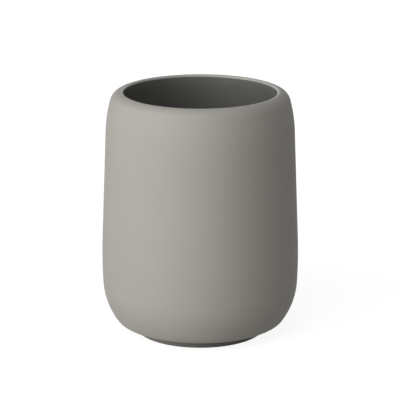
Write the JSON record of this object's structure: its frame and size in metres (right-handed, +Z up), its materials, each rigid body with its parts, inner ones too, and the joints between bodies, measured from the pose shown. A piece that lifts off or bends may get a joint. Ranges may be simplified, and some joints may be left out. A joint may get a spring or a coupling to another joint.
{
  "type": "bathroom tumbler",
  "caption": "Round ceramic bathroom tumbler with a rounded base and shoulder, a soft matt coat outside, a dark glaze inside and a dark anti-slip ring set into its underside.",
  "frame": {"origin": "centre of the standing face under the anti-slip ring, on the cup's axis", "axes": "+Z up along the cup's axis, out of its mouth; the cup is round, so +X and +Y point anywhere"},
  "size_m": [0.085, 0.085, 0.106],
  "materials": {
    "stoneware": "bare fired clay, matt and fine-grained",
    "soft_coat": "matt soft-touch coat, warm grey",
    "glaze": "dark grey glaze, satin to gloss",
    "ring_rubber": "dark grey matt rubber"
  },
  "bodies": {
    "root": {"stoneware_body": "stoneware", "soft_touch_coat": "soft_coat", "inner_glaze": "glaze", "anti_slip_ring": "ring_rubber"}
  },
  "joints": []
}
